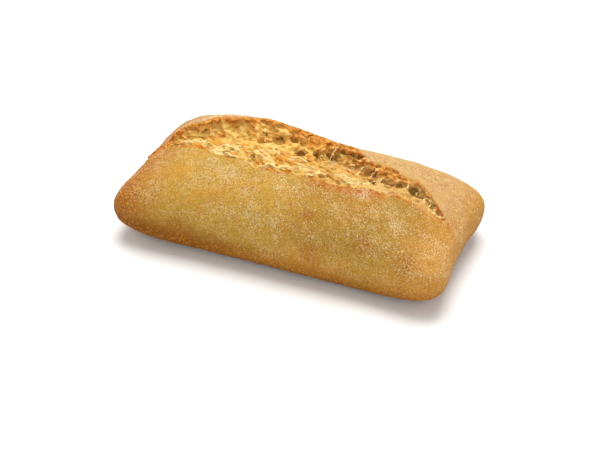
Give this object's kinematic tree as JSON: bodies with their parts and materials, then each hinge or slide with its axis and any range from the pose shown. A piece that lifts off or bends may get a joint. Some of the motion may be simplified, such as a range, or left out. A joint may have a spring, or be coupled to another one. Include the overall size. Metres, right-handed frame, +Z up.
{
  "type": "ciabatta loaf",
  "caption": "Long pillow-shaped ciabatta, its floury golden crust torn open along the top over open crumb.",
  "frame": {"origin": "on the surface the loaf rests on, under the middle of its box", "axes": "+X along the loaf to the end where the tear closes to a point, +Y across it to the tear's high lip, +Z up"},
  "size_m": [0.2382, 0.1178, 0.0712],
  "materials": {
    "bread": "matt baked crust, golden, dusted with flour"
  },
  "bodies": {
    "root": {"ciabatta": "bread"}
  },
  "joints": []
}
